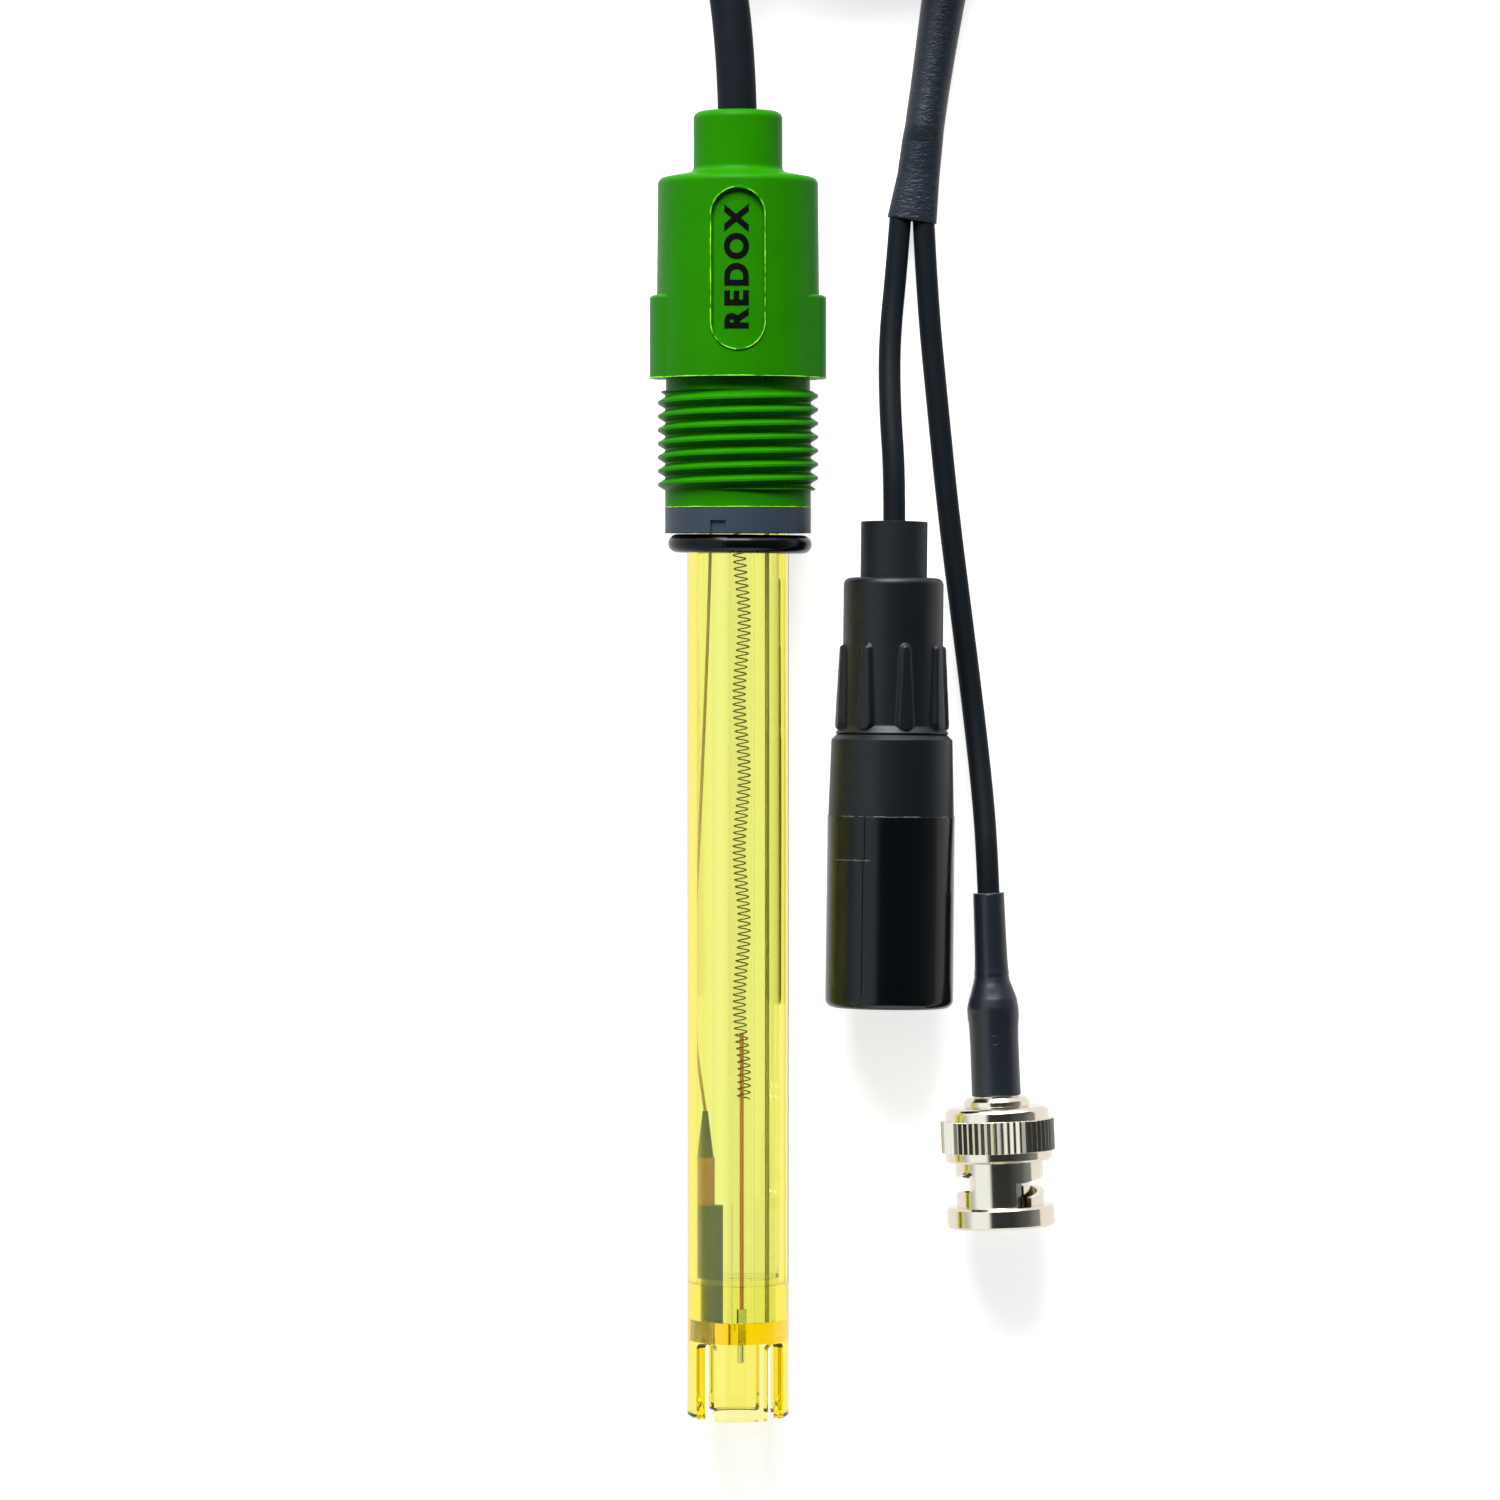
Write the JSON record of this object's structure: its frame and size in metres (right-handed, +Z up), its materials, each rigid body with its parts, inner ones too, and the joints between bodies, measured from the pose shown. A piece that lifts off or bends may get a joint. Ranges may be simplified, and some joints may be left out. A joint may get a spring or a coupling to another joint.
{
  "type": "redox electrode",
  "caption": "In-line redox electrode with a clear shaft, pronged tip guard, pipe-threaded head, and a coiled lead to a round capped connector and a coax bayonet plug.",
  "frame": {"origin": "on the surface the electrode lies on, below the middle of the electrode without its lead", "axes": "+Y along the electrode from the prongs to the nose, +Z up, +X to the right seen from above with the nose at the top"},
  "size_m": [0.0758, 0.2778, 0.0227],
  "materials": {
    "green_plastic": "moulded, fine grain",
    "grey_plastic": "smooth moulded",
    "black_rubber": "glossy",
    "amber_plastic": "clear, polished",
    "stem_glass": "clear, drawn",
    "platinum": "bright",
    "fine_wire": "wound",
    "orange_insulation": "smooth",
    "dark_wire": "oxidised",
    "brown_insulation": "smooth",
    "cell_body": "moulded",
    "orange_plug": "moulded",
    "porous_ceramic": "porous, matt",
    "bung_rubber": "satin",
    "resin": "cast",
    "cable_jacket": "satin, extruded",
    "shrink_sleeve": "satin, shrunk",
    "connector_plastic": "matt moulded",
    "boot_rubber": "matt",
    "contact_metal": "plated",
    "insulator_plastic": "moulded",
    "nickel_plate": "bright plated",
    "white_plastic": "turned",
    "clear_gel": "clear, soft",
    "gasket_rubber": "satin",
    "spring_steel": "bright"
  },
  "bodies": {
    "electrode": {"threaded_head": "green_plastic", "seat_ring": "grey_plastic", "o_ring": "black_rubber", "shaft_tube": "amber_plastic", "tip_guard": "amber_plastic", "inner_stem": "stem_glass", "sensor_pin": "platinum", "coiled_lead": "fine_wire", "sensor_lead": "orange_insulation", "reference_wire": "dark_wire", "reference_cell": "cell_body", "reference_plug": "orange_plug", "reference_seal": "cell_body", "reference_lead": "brown_insulation", "gel_fill": "clear_gel", "junction": "porous_ceramic", "tube_bung": "bung_rubber", "head_potting": "resin", "connector_shell": "nickel_plate", "connector_insert": "insulator_plastic", "connector_pins": "contact_metal", "connector_barrel": "connector_plastic", "gland_nut": "connector_plastic", "cable_boot": "boot_rubber", "coax_body": "nickel_plate", "coax_insulator": "white_plastic", "coax_pin": "contact_metal", "coax_gasket": "gasket_rubber", "coax_washer": "spring_steel", "coax_ferrule": "nickel_plate", "coax_boot": "shrink_sleeve", "main_cable_start": "cable_jacket", "cable_coil": "cable_jacket", "main_cable_end": "cable_jacket", "branch_cable_a": "cable_jacket", "branch_cable_b": "cable_jacket", "split_sleeve": "shrink_sleeve"},
    "bayonet_coupling": {"coax_coupling": "nickel_plate"},
    "cap": {"connector_cap": "connector_plastic"}
  },
  "joints": [
    {"name": "coupling_turn", "type": "hinge", "parent": "electrode", "child": "bayonet_coupling", "pos_m": [0.03523, -0.06155, 0.0076], "axis": [-0.0386, 0.9993, 0], "continuous": true},
    {"name": "cap_pull", "type": "slide", "parent": "electrode", "child": "cap", "axis": [-0.011, -0.9999, 0], "range_m": [0, 0.0122]}
  ]
}
